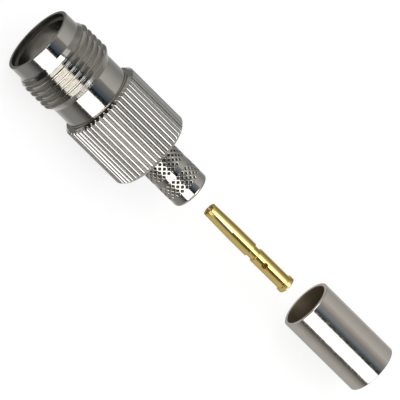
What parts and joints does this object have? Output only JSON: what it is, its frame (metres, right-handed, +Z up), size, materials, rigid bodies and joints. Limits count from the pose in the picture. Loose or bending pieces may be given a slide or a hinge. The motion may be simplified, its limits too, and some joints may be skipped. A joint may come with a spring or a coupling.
{
  "type": "tnc connector",
  "caption": "Threaded coaxial cable jack of the crimp type, drawn apart on its axis: knurled body, slotted centre contact and crimp ferrule.",
  "frame": {"origin": "middle of the model's length, below the axis, on the surface that the knurled barrel lies on", "axes": "+X along the connector's axis, from the mating mouth towards the cable end; +Z up"},
  "size_m": [0.0632, 0.0116, 0.0116],
  "materials": {
    "nickel_plate": "bright nickel plate on turned brass",
    "stem_plate": "bright nickel plate on knurled brass",
    "insulator": "plain white PTFE, turned",
    "gold_plate": "gold plate on turned brass",
    "ferrule_plate": "satin nickel plate on drawn copper tube"
  },
  "bodies": {
    "connector_body": {"jack_shell": "nickel_plate", "crimp_stem": "stem_plate", "front_insulator": "insulator"},
    "contact": {"center_contact": "gold_plate"},
    "ferrule": {"crimp_ferrule": "ferrule_plate"}
  },
  "joints": [
    {"name": "contact_slide", "type": "slide", "parent": "connector_body", "child": "contact", "axis": [-1, 0, 0], "range_m": [0, 0.02869]},
    {"name": "ferrule_slide", "type": "slide", "parent": "connector_body", "child": "ferrule", "axis": [-1, 0, 0], "range_m": [0, 0.02904]}
  ]
}
